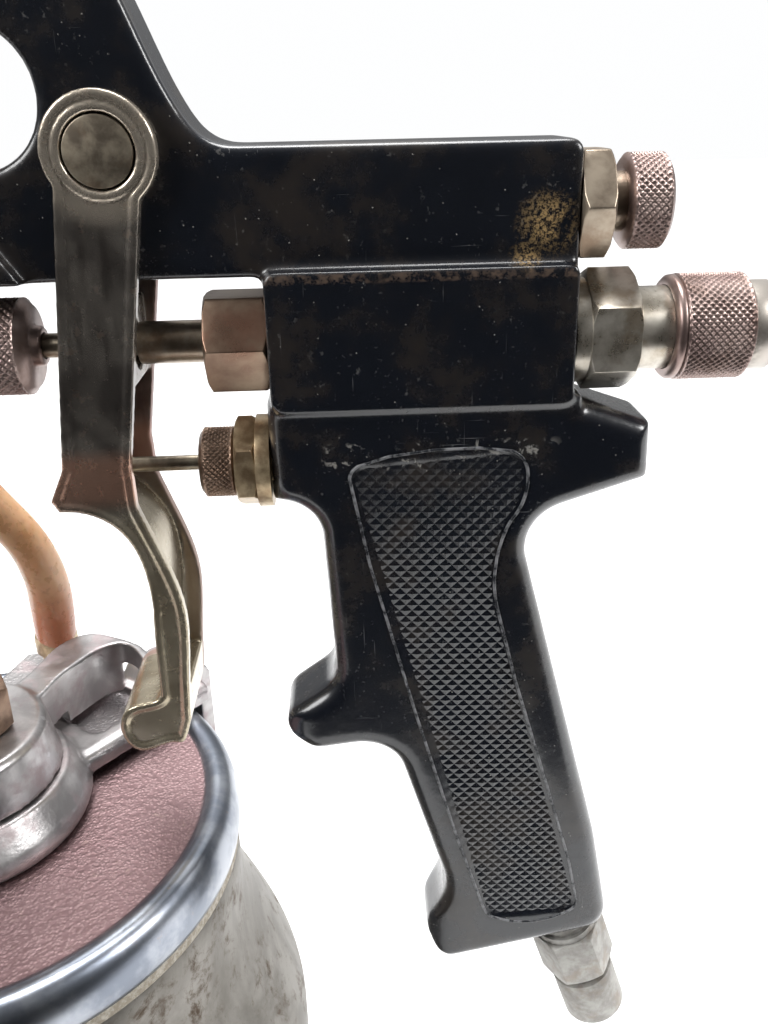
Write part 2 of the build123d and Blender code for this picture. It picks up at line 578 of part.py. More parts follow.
# ---- Yoke over the lid: flange, two arms and the hooks that catch the cup's pins ----
ARM_TOP, ARM_UNDER = 123.0, 118.6
ARM_NEAR, ARM_FAR = 12.3, 6.2  # how far an arm reaches to each side of its own line
WEB_X, WEB_LENGTH, WEB_WIDTH, WEB_DEPTH = 33.0, 15.0, 12.0, 1.6  # pocket in an arm's top
with BuildPart() as yoke_arm:
    with BuildSketch(Plane.XZ.offset(-ARM_FAR)):
        with Locations((15, ARM_UNDER)):
            Rectangle(HOOK_IN - 15, ARM_TOP - ARM_UNDER, align=(Align.MIN, Align.MIN))
    extrude(amount=ARM_FAR + ARM_NEAR)
    fillet(yoke_arm.edges().filter_by(Axis.X).group_by(Axis.Z)[-1], 2.4)
    with BuildSketch(level(ARM_TOP)):
        with Locations((WEB_X, -1.5)):
            RectangleRounded(WEB_LENGTH, WEB_WIDTH, 2.5)
    extrude(amount=-WEB_DEPTH, mode=Mode.SUBTRACT)
    # Raised end with the hook below it
    with BuildSketch(Plane.XZ.offset(-ARM_FAR)):
        with BuildLine():
            Polyline((HOOK_OUT, YOKE_TOP - 3), (HOOK_OUT, 93), (HOOK_IN, 93), (HOOK_IN, ARM_UNDER),
                     (42, ARM_UNDER), (42, ARM_TOP - 1), (45, YOKE_TOP), (HOOK_OUT - 3, YOKE_TOP))
            RadiusArc((HOOK_OUT - 3, YOKE_TOP), (HOOK_OUT, YOKE_TOP - 3), 3)
        make_face()
    extrude(amount=ARM_FAR + 9)
    add(rod(along_x(PIN_Z), 50, 58, PIN_R), mode=Mode.SUBTRACT)

with BuildPart() as cup_yoke:
    add(spun(
        CUP_LINE, (LID_TOP + 0.2, INLET_R + 0.4), (LID_TOP + 0.2, 23), (119, FLANGE_R), (121, 23.4),
        (YOKE_TOP, 20.4), (YOKE_TOP, INLET_R + 0.4),
    ))
    with PolarLocations(0, 2, start_angle=YOKE_ANGLE):
        add(yoke_arm.part)
    add(rod(CUP_LINE, 110, 130, INLET_R + 0.4), mode=Mode.SUBTRACT)
keep(cup_yoke, "cup_yoke")

# ---- Cam lever: hub over the yoke and a crescent-shaped wall for the thumb ----
LEVER_UNDER = YOKE_TOP + CLEAR
WALL_TOP = HUB_TOP - 0.5
SLOT_X, SLOT_TOP = 25.0, 130.4  # slot under the wall's free end
with BuildPart() as lever_wall:
    with BuildSketch(level(ARM_TOP + CLEAR)):
        with BuildLine():
            Spline((10, 6), (14.6, 13), (16, 18.4), (18.7, 23.5), (21.9, 28.3), (25.8, 29.9),
                   (29.6, 26.5), (33.2, 20.2))
            Line((33.2, 20.2), (35.3, 19.6))
            Spline((35.3, 19.6), (33.9, 22.6), (30.4, 28.2), (23.4, 33.0), (17.4, 34.6),
                   (13.4, 31.5), (10.6, 24), (6, 14))
            Line((6, 14), (10, 6))
        make_face()
    extrude(amount=WALL_TOP - ARM_TOP - CLEAR)
    # It clears the flange, and a slot opens under its free end
    add(rod(CUP_LINE, ARM_TOP, LEVER_UNDER, FLANGE_R + 0.8), mode=Mode.SUBTRACT)
    with BuildSketch(level(ARM_TOP)):
        with Locations((SLOT_X, 15)):
            Rectangle(20, 30, align=(Align.MIN, Align.MIN))
    extrude(amount=SLOT_TOP - ARM_TOP, mode=Mode.SUBTRACT)

with BuildPart() as cam_lever:
    add(spun(
        CUP_LINE, (LEVER_UNDER, INLET_R + 0.4), (LEVER_UNDER, 19.4), (HUB_TOP - 1, 17.6),
        (HUB_TOP, 16.6), (HUB_TOP, INLET_R + 0.4),
    ))
    add(lever_wall.part)
    add(rod(CUP_LINE, 120, 140, INLET_R + 0.4), mode=Mode.SUBTRACT)
keep(cam_lever, "cam_lever")

# ---- Pressure hose and its nipple on the head ----
NIPPLE_LINE = Plane(origin=(NIPPLE_X, NIPPLE_Y, 0), x_dir=(0, 0, 1), z_dir=(0, -1, 0))
with BuildPart() as head_nipple:
    add(rod(NIPPLE_LINE, NIPPLE_Z, NEEDLE_Z, 3.5))
    add(rod(NIPPLE_ARM, 9, NIPPLE_Y, 3.5))
    add(hexagon(NIPPLE_ARM, 14.6, 19.4, 9.5))
    with BuildSketch(level(NEEDLE_Z, NIPPLE_X, NIPPLE_Y)):
        Circle(3.5)
    extrude(amount=3.5)
    add(rod(NIPPLE_LINE, NIPPLE_Z - 1, NEEDLE_Z, 1.2), mode=Mode.SUBTRACT)
    add(rod(NIPPLE_ARM, 8, NIPPLE_Y, 1.2), mode=Mode.SUBTRACT)
keep(head_nipple, "head_nipple")

runs = [Vector(b) - Vector(a) for a, b in zip(HOSE_ROUTE, HOSE_ROUTE[1:])]
radii = []
for before, after in zip(runs, runs[1:]):
    half_turn = before.get_angle(after) / 2
    radii.append(0.45 * min(before.length, after.length) / tan(radians(half_turn)))
print("pressure hose radii", [round(radius, 1) for radius in radii])
with BuildPart() as pressure_hose:
    with BuildLine() as hose_line:
        FilletPolyline(*HOSE_ROUTE, radius=radii)
    with BuildSketch(Plane(hose_line.line @ 0, z_dir=hose_line.line % 0)):
        Circle(HOSE_R)
    sweep(path=hose_line.line)
print("pressure hose", round(hose_line.wires()[0].length, 1), "mm long; volume ratio",
      round(pressure_hose.part.volume / (pi * HOSE_R**2 * hose_line.wires()[0].length), 4))
keep(pressure_hose, "pressure_hose")
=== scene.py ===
import math
from contextlib import contextmanager

import bmesh
import bpy
from mathutils import Matrix, Vector, kdtree, noise


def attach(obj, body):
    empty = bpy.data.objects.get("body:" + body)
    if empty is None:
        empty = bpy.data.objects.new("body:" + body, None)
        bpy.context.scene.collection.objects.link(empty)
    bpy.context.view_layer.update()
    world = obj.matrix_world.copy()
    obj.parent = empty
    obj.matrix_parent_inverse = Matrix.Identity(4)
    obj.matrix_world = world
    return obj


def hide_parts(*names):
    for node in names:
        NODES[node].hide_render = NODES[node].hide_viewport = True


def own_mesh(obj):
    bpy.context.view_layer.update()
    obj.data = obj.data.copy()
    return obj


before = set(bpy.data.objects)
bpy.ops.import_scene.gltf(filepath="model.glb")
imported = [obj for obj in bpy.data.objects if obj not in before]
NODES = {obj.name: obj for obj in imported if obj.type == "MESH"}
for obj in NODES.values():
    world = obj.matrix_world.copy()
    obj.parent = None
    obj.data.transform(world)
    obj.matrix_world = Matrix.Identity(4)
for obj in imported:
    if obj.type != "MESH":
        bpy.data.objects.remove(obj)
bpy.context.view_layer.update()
MM = 0.001

# In mm: the heights of the lines that the fluid needle, fan control and air valve lie on, the
# trigger's pivot, and the radii of the cup, a hair inside the CAD one, and of the lid's disc
NEEDLE_Z, FAN_Z, VALVE_Z = 206.5, 225.8, 186.4
PIVOT = Vector((43.3, 0, 234.9))
CUP_R, LID_DISC_R = 62.17, 45.0
WELD = 1e-6  # points of a CAD mesh nearer than this, in metres, are one


def place(name, data):
    """A new object in the scene."""
    made = bpy.data.objects.new(name, data)
    bpy.context.scene.collection.objects.link(made)
    return made


# ---------------------------------------------------------------- camera
def make_camera():
    """Close view from the near side, above the cup's rim and looking down."""
    pitch, yaw, roll = (math.radians(a) for a in (23.0, 2.0, 1.3))
    data = bpy.data.cameras.new("camera")
    data.sensor_width, data.lens = 36.0, 33.75
    data.clip_start = 0.01
    cam = place("camera", data)
    turn = (
        Matrix.Rotation(-yaw, 4, "Z")
        @ Matrix.Rotation(math.pi / 2 - pitch, 4, "X")
        @ Matrix.Rotation(-roll, 4, "Z")
    )
    stand = Vector((76.2, -150, 240)) * MM
    cam.matrix_world = Matrix.Translation(stand) @ turn
    bpy.context.scene.camera = cam


make_camera()


# ---------------------------------------------------------------- materials
class Finish:
    """A Principled material with short calls for procedural inputs in object coordinates."""

    def __init__(self, name, **sockets):
        self.material = bpy.data.materials.new(name)
        self.material.use_nodes = True
        self.tree = self.material.node_tree
        self.shader = self.tree.nodes["Principled BSDF"]
        self.place = self.tree.nodes.new("ShaderNodeTexCoord").outputs["Object"]
        for socket, value in sockets.items():
            self.shader.inputs[socket.replace("_", " ")].default_value = value

    def feed(self, target, value):
        """Link another node's output to an input, or set the input to a plain value."""
        if isinstance(value, bpy.types.NodeSocket):
            self.tree.links.new(value, target)
        else:
            target.default_value = value

    def node(self, kind, **inputs):
        made = self.tree.nodes.new(kind)
        for socket, value in inputs.items():
            self.feed(made.inputs[socket.replace("_", " ")], value)
        return made

    def stretched(self, stretch, turn=(0, 0, 0)):
        """The object coordinates scaled along each axis, after a turn in degrees."""
        turn = [math.radians(a) for a in turn]
        made = self.node("ShaderNodeMapping", Vector=self.place, Scale=stretch, Rotation=turn)
        return made.outputs["Vector"]

    def noise(self, size, detail=4.0, rough=0.55, where=None, distortion=0.0):
        """Noise whose features are about size mm across."""
        made = self.node(
            "ShaderNodeTexNoise", Vector=where or self.place, Scale=1000.0 / size,
            Detail=detail, Roughness=rough, Distortion=distortion,
        )
        return made.outputs["Fac"]

    def cells(self, size, where=None):
        """Distance to the nearest of scattered points about size mm apart."""
        made = self.node("ShaderNodeTexVoronoi", Vector=where or self.place, Scale=1000.0 / size)
        return made.outputs["Distance"]

    def band(self, value, low, high):
        """0 at low and 1 at high, smooth between them."""
        made = self.node("ShaderNodeMapRange", Value=value, From_Min=low, From_Max=high)
        made.interpolation_type = "SMOOTHSTEP"
        return made.outputs["Result"]

    def scaled(self, value, low, high):
        """A 0 to 1 value spread from low to high."""
        made = self.node("ShaderNodeMapRange", Value=value, To_Min=low, To_Max=high)
        return made.outputs["Result"]

    def math(self, operation, a, b):
        """Two values combined; sums and differences are kept within 0 to 1."""
        made = self.tree.nodes.new("ShaderNodeMath")
        made.operation = operation
        made.use_clamp = operation in ("ADD", "SUBTRACT")
        for target, value in zip(made.inputs, (a, b)):
            self.feed(target, value)
        return made.outputs[0]

    def both(self, a, b):
        """Where a and b are both high."""
        return self.math("MULTIPLY", a, b)

    def mix(self, factor, a, b):
        """Colour a where factor is 0 and b where it is 1."""
        made = self.tree.nodes.new("ShaderNodeMix")
        made.data_type = "RGBA"
        # Inputs 6 and 7 and output 2 are the colour ones of this node
        for target, value in ((0, factor), (6, a), (7, b)):
            self.feed(made.inputs[target], (*value, 1) if isinstance(value, tuple) else value)
        return made.outputs[2]

    def over(self, base, mask, most, colour):
        """The base with a colour laid over it, to at most a share of it, where the mask is 1."""
        return self.mix(self.scaled(mask, 0, most), base, colour)

    def axes(self):
        """The X, Y and Z of the place, in metres."""
        split = self.node("ShaderNodeSeparateXYZ", Vector=self.place)
        return [split.outputs[axis] for axis in "XYZ"]

    def from_above(self):
        """The place with its height set to 0, and its distance from the cup's axis, in metres."""
        x, y, _ = self.axes()
        flat = self.node("ShaderNodeCombineXYZ", X=x, Y=y).outputs["Vector"]
        reach = self.node("ShaderNodeVectorMath", Vector=flat)
        reach.operation = "LENGTH"
        return flat, reach.outputs["Value"]

    def between(self, value, low, high, soft):
        """1 between two values, in mm, with soft ends."""
        rise = self.band(value, (low - soft) * MM, low * MM)
        return self.both(rise, self.band(value, (high + soft) * MM, high * MM))

    def near(self, centre, radius, soft):
        """1 at a point, in mm, falling to 0 over the outer part of radius, a soft share of it."""
        gap = self.node("ShaderNodeVectorMath", Vector=self.place)
        gap.operation = "DISTANCE"
        gap.inputs[1].default_value = [c * MM for c in centre]
        return self.band(gap.outputs["Value"], radius * MM, radius * MM * (1 - soft))

    def pointed(self, low, high):
        """0 to 1 with the surface's pointiness: over 0.5 on outward edges, under it in corners."""
        point = self.node("ShaderNodeNewGeometry").outputs["Pointiness"]
        return self.band(point, low, high)

    def edges(self, low=0.54, high=0.62):
        """1 on outward edges, where paint and plating wear."""
        return self.pointed(low, high)

    def hollows(self, low=0.49, high=0.42):
        """1 in inward corners, where dirt gathers."""
        return self.pointed(low, high)

    def dirt(self, size, detail, low=0.49, high=0.42):
        """Broken dirt in inward corners, in grains about size mm across."""
        return self.both(self.hollows(low, high), self.band(self.noise(size, detail), 0.3, 0.6))

    def bump(self, *layers):
        """Bump from (height value, depth in mm) layers."""
        normal = None
        for height, depth in layers:
            made = self.node("ShaderNodeBump", Height=height, Distance=depth * MM)
            if normal:
                self.tree.links.new(normal, made.inputs["Normal"])
            normal = made.outputs["Normal"]
        self.tree.links.new(normal, self.shader.inputs["Normal"])

    def drive(self, **values):
        """Link values to the shader's sockets, and give the finished material."""
        for socket, value in values.items():
            self.tree.links.new(value, self.shader.inputs[socket.replace("_", " ")])
        return self.material


def black_paint():
    """Gloss black with dust, fine scratches, specks, brown dirt on the ledge and old overspray."""
    f = Finish("black_paint", IOR=1.5, Coat_Weight=0.35, Coat_Roughness=0.12)
    x, _, z = f.axes()
    wide = f.noise(9, 5)
    fine = f.noise(0.5, 6, 0.7)
    haze = f.band(f.noise(13, 6, 0.65), 0.46, 0.66)
    dust = f.both(f.band(f.noise(0.9, 3, 0.6), 0.62, 0.74), f.band(wide, 0.42, 0.62))
    specks = f.both(f.band(f.cells(1.3), 0.10, 0.04), f.band(f.noise(3.1, 2), 0.50, 0.58))
    steep = f.band(f.noise(0.35, 2, 0.5, f.stretched((1, 1, 0.03), (0, 52, 0))), 0.70, 0.76)
    shallow = f.band(f.noise(0.35, 2, 0.5, f.stretched((0.03, 1, 1), (0, 14, 0))), 0.71, 0.77)
    scratches = f.both(f.math("MAXIMUM", steep, shallow), f.band(wide, 0.45, 0.6))

    # Overspray: two soft spots by the fan bushing, broken into grains and larger gaps
    spray = f.math("MAXIMUM", f.near((106, -7, 223.8), 5.8, 0.85), f.near((103, -7, 219), 3.2, 0.9))
    spray = f.both(spray, f.band(f.noise(0.45, 5, 0.8), 0.46, 0.58))
    spray = f.both(spray, f.band(f.noise(2.5, 5), 0.3, 0.5))
    # Dirt on the ledge between the barrel and the block, and in every inward corner
    ledge = f.both(f.between(z, 216.5, 217.3, 0.5), f.between(x, 66, 111, 3))
    ledge = f.math("MAXIMUM", ledge, f.hollows())
    ledge = f.both(ledge, f.band(f.noise(1.2, 5, 0.75), 0.44, 0.6))
    # Crust along the top of the grip panel
    crust = f.both(f.between(z, 187.6, 190.6, 1.2), f.between(x, 74, 106, 4))
    crust = f.both(crust, f.band(f.noise(1.7, 5, 0.7, distortion=0.3), 0.58, 0.63))
    wear = f.both(f.edges(0.55, 0.63), f.band(f.noise(1.8, 5, 0.7), 0.46, 0.62))

    base = f.mix(wide, (0.0045, 0.0055, 0.0085), (0.010, 0.012, 0.017))
    for mask, most, colour in (
        (haze, 0.7, (0.026, 0.020, 0.016)), (dust, 0.22, (0.30, 0.29, 0.27)),
        (scratches, 0.20, (0.42, 0.42, 0.42)), (specks, 0.55, (0.55, 0.52, 0.46)),
        (ledge, 0.75, (0.10, 0.062, 0.040)), (spray, 0.85, (0.46, 0.30, 0.12)),
        (crust, 0.55, (0.42, 0.40, 0.36)), (wear, 0.55, (0.30, 0.31, 0.34)),
    ):
        base = f.over(base, mask, most, colour)
    rough = f.scaled(fine, 0.16, 0.30)
    for mask, most in ((dust, 0.35), (haze, 0.10), (f.math("MAXIMUM", spray, ledge), 0.4)):
        rough = f.math("ADD", rough, f.scaled(mask, 0, most))
    f.bump((f.noise(5.5, 3), 0.10), (fine, 0.008), (scratches, 0.01), (specks, 0.05), (crust, 0.05))
    return f.drive(Base_Color=base, Roughness=rough)


def worn_paint():
    """Black paint rubbed through to grey along a raised edge."""
    f = Finish("worn_paint", IOR=1.5)
    rub = f.band(f.noise(2.6, 5, 0.7), 0.42, 0.60)
    base = f.over((0.012, 0.014, 0.018), rub, 0.8, (0.26, 0.26, 0.27))
    f.bump((f.noise(0.6, 4, 0.7), 0.02))
    return f.drive(Base_Color=base, Roughness=f.scaled(rub, 0.25, 0.45))


def metal(name, light, dark, rough, spread, stain, stained, patch, bump=0.004, bright=None):
    """Worn bare or plated metal: two tones, a dull film, tarnish in patches and dirty corners.

    Roughness runs from rough to rough + spread, patch is the size of the patches in mm, and
    bright, given as (x in mm, colour), is a cleaner stretch behind x."""
    f = Finish(name)
    wide = f.noise(patch, 5, 0.6, distortion=0.15)
    fine = f.noise(0.35, 5, 0.7)
    base = f.mix(f.band(wide, 0.32, 0.68), dark, light)
    base = f.over(base, f.band(f.noise(patch * 1.7, 5, 0.65), 0.50, 0.66), stained, stain)
    if bright:
        start, colour = bright
        base = f.over(base, f.band(f.axes()[0], (start - 0.2) * MM, start * MM), 0.8, colour)
    dirt = f.dirt(1.0, 3, 0.50)
    base = f.over(base, dirt, 0.75, (0.05, 0.038, 0.03))
    dull = f.math("ADD", f.scaled(wide, rough, rough + spread), f.scaled(fine, 0, 0.08))
    dull = f.math("ADD", dull, f.scaled(dirt, 0, 0.4))
    f.bump((fine, bump), (wide, bump * 6))
    return f.drive(Base_Color=base, Roughness=dull, Metallic=f.scaled(wide, 0.92, 0.62))


def trigger_metal():
    """Worn nickel: dull arms, a painted highlight by the pivot, a copper band, golden where fingers
    rub, dusty red far flange.
    """
    f = Finish("trigger_nickel")
    _, y, z = f.axes()
    wide = f.noise(9, 5, 0.55, distortion=0.4)
    streak = f.noise(1.6, 5, 0.6, f.stretched((1, 1, 0.12), (0, 8, 0)))
    fine = f.noise(0.4, 5, 0.7)
    blot = f.band(f.noise(2.6, 6, 0.7), 0.56, 0.68)
    arm = f.mix(f.band(wide, 0.3, 0.7), (0.10, 0.088, 0.080), (0.30, 0.27, 0.235))
    arm = f.over(arm, f.band(streak, 0.45, 0.7), 0.5, (0.06, 0.05, 0.045))
    # Painted highlight: a bright warm spot round the pivot, on the near face only
    arm = f.over(arm, f.near((PIVOT.x, -9.5, PIVOT.z), 11, 0.3), 0.9, (0.62, 0.54, 0.44))
    arm = f.over(arm, blot, 0.3, (0.22, 0.14, 0.09))
    gold = f.mix(f.band(wide, 0.3, 0.7), (0.34, 0.285, 0.20), (0.50, 0.44, 0.33))
    gold = f.over(gold, f.band(streak, 0.5, 0.7), 0.3, (0.27, 0.21, 0.13))
    fingers_top, fingers_full = 185.5 * MM, 177 * MM
    base = f.mix(f.band(z, fingers_top, fingers_full), arm, gold)
    copper = f.both(f.between(z, 185, 189.5, 3.5), f.scaled(wide, 0.5, 1.0))
    base = f.over(base, copper, 0.9, (0.60, 0.33, 0.23))
    far = f.both(f.band(y, 7.0 * MM, 7.8 * MM), f.scaled(wide, 0.6, 1.0))
    base = f.over(base, far, 0.9, (0.30, 0.18, 0.165))
    base = f.over(base, f.edges(), 0.6, (0.62, 0.56, 0.46))
    dirt = f.dirt(1.0, 3, 0.49, 0.43)
    base = f.over(base, dirt, 0.75, (0.05, 0.036, 0.028))
    rough = f.math("ADD", f.scaled(wide, 0.18, 0.32), f.scaled(blot, 0, 0.12))
    rough = f.math("ADD", rough, f.scaled(f.math("MAXIMUM", dirt, far), 0, 0.28))
    f.bump((fine, 0.005), (f.noise(6, 3), 0.05), (streak, 0.008))
    return f.drive(Base_Color=base, Roughness=rough, Metallic=f.scaled(far, 0.78, 0.4))


def cup_metal():
    """Dull spun aluminium, mottled with old brown paint stains, and fine rings."""
    f = Finish("cup_metal", Metallic=1.0)
    rings = f.noise(0.8, 3, 0.5, f.stretched((0.02, 0.02, 1)))
    cloud = f.noise(24, 6, 0.62, distortion=0.8)
    blot = f.noise(6, 7, 0.74, distortion=0.25)
    small = f.band(f.noise(1.9, 6, 0.75), 0.55, 0.70)
    base = f.mix(f.band(cloud, 0.35, 0.65), (0.150, 0.140, 0.124), (0.265, 0.252, 0.230))
    stain = f.both(f.band(blot, 0.50, 0.68), f.band(cloud, 0.34, 0.54))
    base = f.over(base, stain, 0.85, (0.095, 0.062, 0.038))
    base = f.over(base, small, 0.40, (0.10, 0.082, 0.066))
    rough = f.math("ADD", f.scaled(cloud, 0.40, 0.54), f.scaled(stain, 0, 0.25))
    f.bump((rings, 0.012), (blot, 0.04), (small, 0.01), (f.noise(40, 3), 0.5))
    return f.drive(Base_Color=base, Roughness=rough)


def lid_metal():
    """Aluminium lid: dusty mauve stain on the pebbled disc, bright polished rim."""
    f = Finish("lid_metal", Metallic=1.0)
    flat, reach = f.from_above()
    disc = f.band(reach, (LID_DISC_R + 0.9) * MM, (LID_DISC_R - 0.1) * MM)
    cloud = f.noise(14, 5, 0.6)
    pebbles = f.cells(0.62, flat)
    pink = f.mix(cloud, (0.225, 0.145, 0.150), (0.345, 0.245, 0.245))
    pink = f.over(pink, f.band(pebbles, 0.35, 0.7), 0.40, (0.15, 0.085, 0.09))
    rim = f.mix(f.band(f.noise(8, 5), 0.4, 0.66), (0.20, 0.22, 0.26), (0.36, 0.38, 0.42))
    spots = f.band(f.noise(2.4, 4, 0.7), 0.62, 0.72)
    base = f.over(f.mix(disc, rim, pink), spots, 0.3, (0.36, 0.28, 0.23))
    rough = f.math("ADD", f.scaled(disc, 0.24, 0.42), f.scaled(cloud, 0, 0.12))
    rise = f.both(f.band(pebbles, 0.7, 0.1), disc)
    f.bump((rise, 0.045), (f.noise(0.5, 3, 0.6), 0.006), (f.noise(9, 3), 0.05))
    return f.drive(Base_Color=base, Roughness=rough)


def cast_metal(name, skin_depth, film):
    """Greyish cast aluminium with a pebbled skin, stains, dirty hollows and worn edges.

    skin_depth is how deep the pebbles are, and film how metallic it is under its dull film."""
    f = Finish(name)
    wide = f.noise(10, 5, 0.58, distortion=0.5)
    skin = f.cells(0.7)
    webs = f.both(f.between(f.axes()[2], 120.9, 122.0, 0.3),
                  f.band(f.from_above()[1], 25 * MM, 27 * MM))
    stain = f.band(f.noise(7, 5, 0.65), 0.46, 0.66)
    base = f.mix(f.band(wide, 0.35, 0.65), (0.34, 0.325, 0.325), (0.53, 0.515, 0.51))
    base = f.over(base, stain, 0.45, (0.37, 0.265, 0.275))
    base = f.over(base, webs, 0.5, (0.46, 0.42, 0.43))
    base = f.over(base, f.edges(), 0.6, (0.60, 0.59, 0.59))
    dirt = f.dirt(1.2, 4)
    base = f.over(base, dirt, 0.85, (0.10, 0.040, 0.030))
    dull = f.math("MAXIMUM", dirt, stain)
    rough = f.math("ADD", f.scaled(wide, 0.26, 0.38), f.scaled(dull, 0, 0.2))
    pebbles = f.both(f.band(skin, 0.7, 0.1), f.math("ADD", webs, skin_depth))
    f.bump((pebbles, 0.06), (f.noise(0.4, 4, 0.7), 0.006), (f.noise(5, 4), 0.06))
    return f.drive(Base_Color=base, Roughness=rough, Metallic=f.scaled(wide, 0.95, film))


def vinyl():
    """Aged translucent vinyl hose, orange brown and redder towards the lid."""
    f = Finish(
        "vinyl", IOR=1.5, Subsurface_Weight=0.25, Subsurface_Scale=0.002, Transmission_Weight=0.12,
    )
    low_end = f.band(f.axes()[2], 152 * MM, 137 * MM)
    base = f.mix(f.band(f.noise(5, 5, 0.6), 0.3, 0.7), (0.58, 0.31, 0.15), (0.74, 0.46, 0.26))
    base = f.over(base, low_end, 0.8, (0.52, 0.165, 0.08))
    base = f.over(base, f.band(f.noise(1.6, 5), 0.56, 0.7), 0.4, (0.34, 0.15, 0.09))
    f.bump((f.noise(3, 4), 0.08), (f.noise(0.5, 3), 0.006))
    return f.drive(Base_Color=base, Roughness=f.scaled(f.noise(2.5, 4), 0.18, 0.40))


def soft_ring(name, colour, dark):
    """Cork-rubber or packing: pale, matt and grainy."""
    f = Finish(name, IOR=1.45)
    base = f.mix(f.band(f.noise(1.4, 6, 0.7), 0.4, 0.65), dark, colour)
    f.bump((f.noise(0.6, 5, 0.7), 0.05))
    return f.drive(Base_Color=base, Roughness=f.scaled(f.noise(2, 4), 0.55, 0.85))


LOOKS = {
    "paint": black_paint(),
    "worn": worn_paint(),
    "trigger": trigger_metal(),
    "nickel": metal("warm_nickel", (0.42, 0.35, 0.27), (0.22, 0.17, 0.125), 0.20, 0.16,
                    (0.20, 0.12, 0.07), 0.6, 5),
    "tarnish": metal("red_tarnish", (0.34, 0.255, 0.18), (0.19, 0.115, 0.08), 0.18, 0.16,
                     (0.25, 0.12, 0.08), 0.5, 9),
    "silver": metal("plated_neck", (0.60, 0.56, 0.49), (0.36, 0.32, 0.26), 0.18, 0.14,
                    (0.30, 0.22, 0.14), 0.5, 4),
    "knurl": metal("knurl_nickel", (0.40, 0.305, 0.275), (0.235, 0.165, 0.15), 0.24, 0.12,
                   (0.20, 0.125, 0.095), 0.5, 6, bright=(138.8, (0.50, 0.47, 0.42))),
    "brass": metal("old_brass", (0.56, 0.44, 0.28), (0.31, 0.22, 0.13), 0.26, 0.16,
                   (0.20, 0.13, 0.075), 0.6, 3),
    "bronze": metal("brown_bronze", (0.36, 0.25, 0.18), (0.19, 0.125, 0.09), 0.26, 0.16,
                    (0.14, 0.085, 0.055), 0.6, 4),
    "steel": metal("dark_steel", (0.42, 0.36, 0.27), (0.20, 0.165, 0.125), 0.26, 0.16,
                   (0.20, 0.13, 0.08), 0.5, 3, bump=0.01),
    "zinc": metal("dull_zinc", (0.46, 0.45, 0.425), (0.29, 0.275, 0.255), 0.42, 0.2,
                  (0.30, 0.25, 0.20), 0.55, 3, bump=0.02),
    "cast": cast_metal("cast_aluminium", 0.12, 0.75),
    "pad": cast_metal("crusted_casting", 0.8, 0.45),
    "cup": cup_metal(),
    "lid": lid_metal(),
    "vinyl": vinyl(),
    "gasket": soft_ring("gasket", (0.52, 0.48, 0.41), (0.30, 0.26, 0.20)),
    "packing": soft_ring("packing", (0.85, 0.84, 0.80), (0.70, 0.68, 0.62)),
}


# ---------------------------------------------------------------- pieces
def add_piece(name, mesh, look, nodes=(), body="gun"):
    """Link a mesh as a piece that rides on a body and stands for CAD nodes."""
    mesh.materials.clear()
    mesh.materials.append(LOOKS[look])
    piece = place(name, mesh)
    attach(piece, body)
    if nodes:
        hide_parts(*nodes)
    return piece


@contextmanager
def edited(mesh):
    """A mesh opened for editing, and written back at the end."""
    bm = bmesh.new()
    bm.from_mesh(mesh)
    yield bm
    bm.to_mesh(mesh)
    bm.free()


def shade(mesh, angle):
    """Smooth shading with sharp edges past an angle, in degrees."""
    limit = math.radians(angle)
    with edited(mesh) as bm:
        for face in bm.faces:
            face.smooth = True
        for edge in bm.edges:
            edge.smooth = len(edge.link_faces) == 2 and edge.calc_face_angle(0) < limit
    return mesh


def bare_mesh(name, node):
    """A welded copy of a CAD node's faces, with flat parts joined into whole faces."""
    source = NODES[node].data
    mesh = bpy.data.meshes.new(name)
    faces = [tuple(face.vertices) for face in source.polygons]
    mesh.from_pydata([v.co for v in source.vertices], [], faces)
    with edited(mesh) as bm:
        bmesh.ops.remove_doubles(bm, verts=bm.verts, dist=WELD)
        bmesh.ops.dissolve_limit(bm, angle_limit=math.radians(0.6), verts=bm.verts, edges=bm.edges)
    return mesh


def worked(mesh, *modifiers):
    """The mesh with modifiers applied, each given as (kind, settings)."""
    maker = place("maker", mesh)
    for kind, settings in modifiers:
        modifier = maker.modifiers.new(kind.lower(), kind)
        for key, value in settings.items():
            setattr(modifier, key, value)
    bpy.context.view_layer.update()
    result = bpy.data.meshes.new_from_object(
        maker.evaluated_get(bpy.context.evaluated_depsgraph_get())
    )
    bpy.data.objects.remove(maker)
    result.name = mesh.name
    return result


def moulded(mesh, voxel, rounds):
    """The mesh with its edges and corners rounded as in a mould; voxel is in mm."""
    return worked(
        mesh,
        ("REMESH", {"mode": "VOXEL", "voxel_size": voxel * MM, "use_smooth_shade": True}),
        ("SMOOTH", {"factor": 0.5, "iterations": rounds}),
    )


def cast(name, node, voxel, rounds, look, body="gun"):
    """A cast piece: the CAD shape, moulded."""
    mesh = moulded(bare_mesh(name, node), voxel, rounds)
    return add_piece(name, shade(mesh, 80), look, (node,), body)


def machined(name, node, edge, look, body="gun"):
    """A turned or milled piece: the CAD shape with its sharp edges broken by edge mm."""
    mesh = worked(
        bare_mesh(name, node),
        ("BEVEL", {"width": edge * MM, "segments": 2, "limit_method": "ANGLE",
                   "angle_limit": math.radians(34), "use_clamp_overlap": True}),
    )
    return add_piece(name, shade(mesh, 40), look, (node,), body)


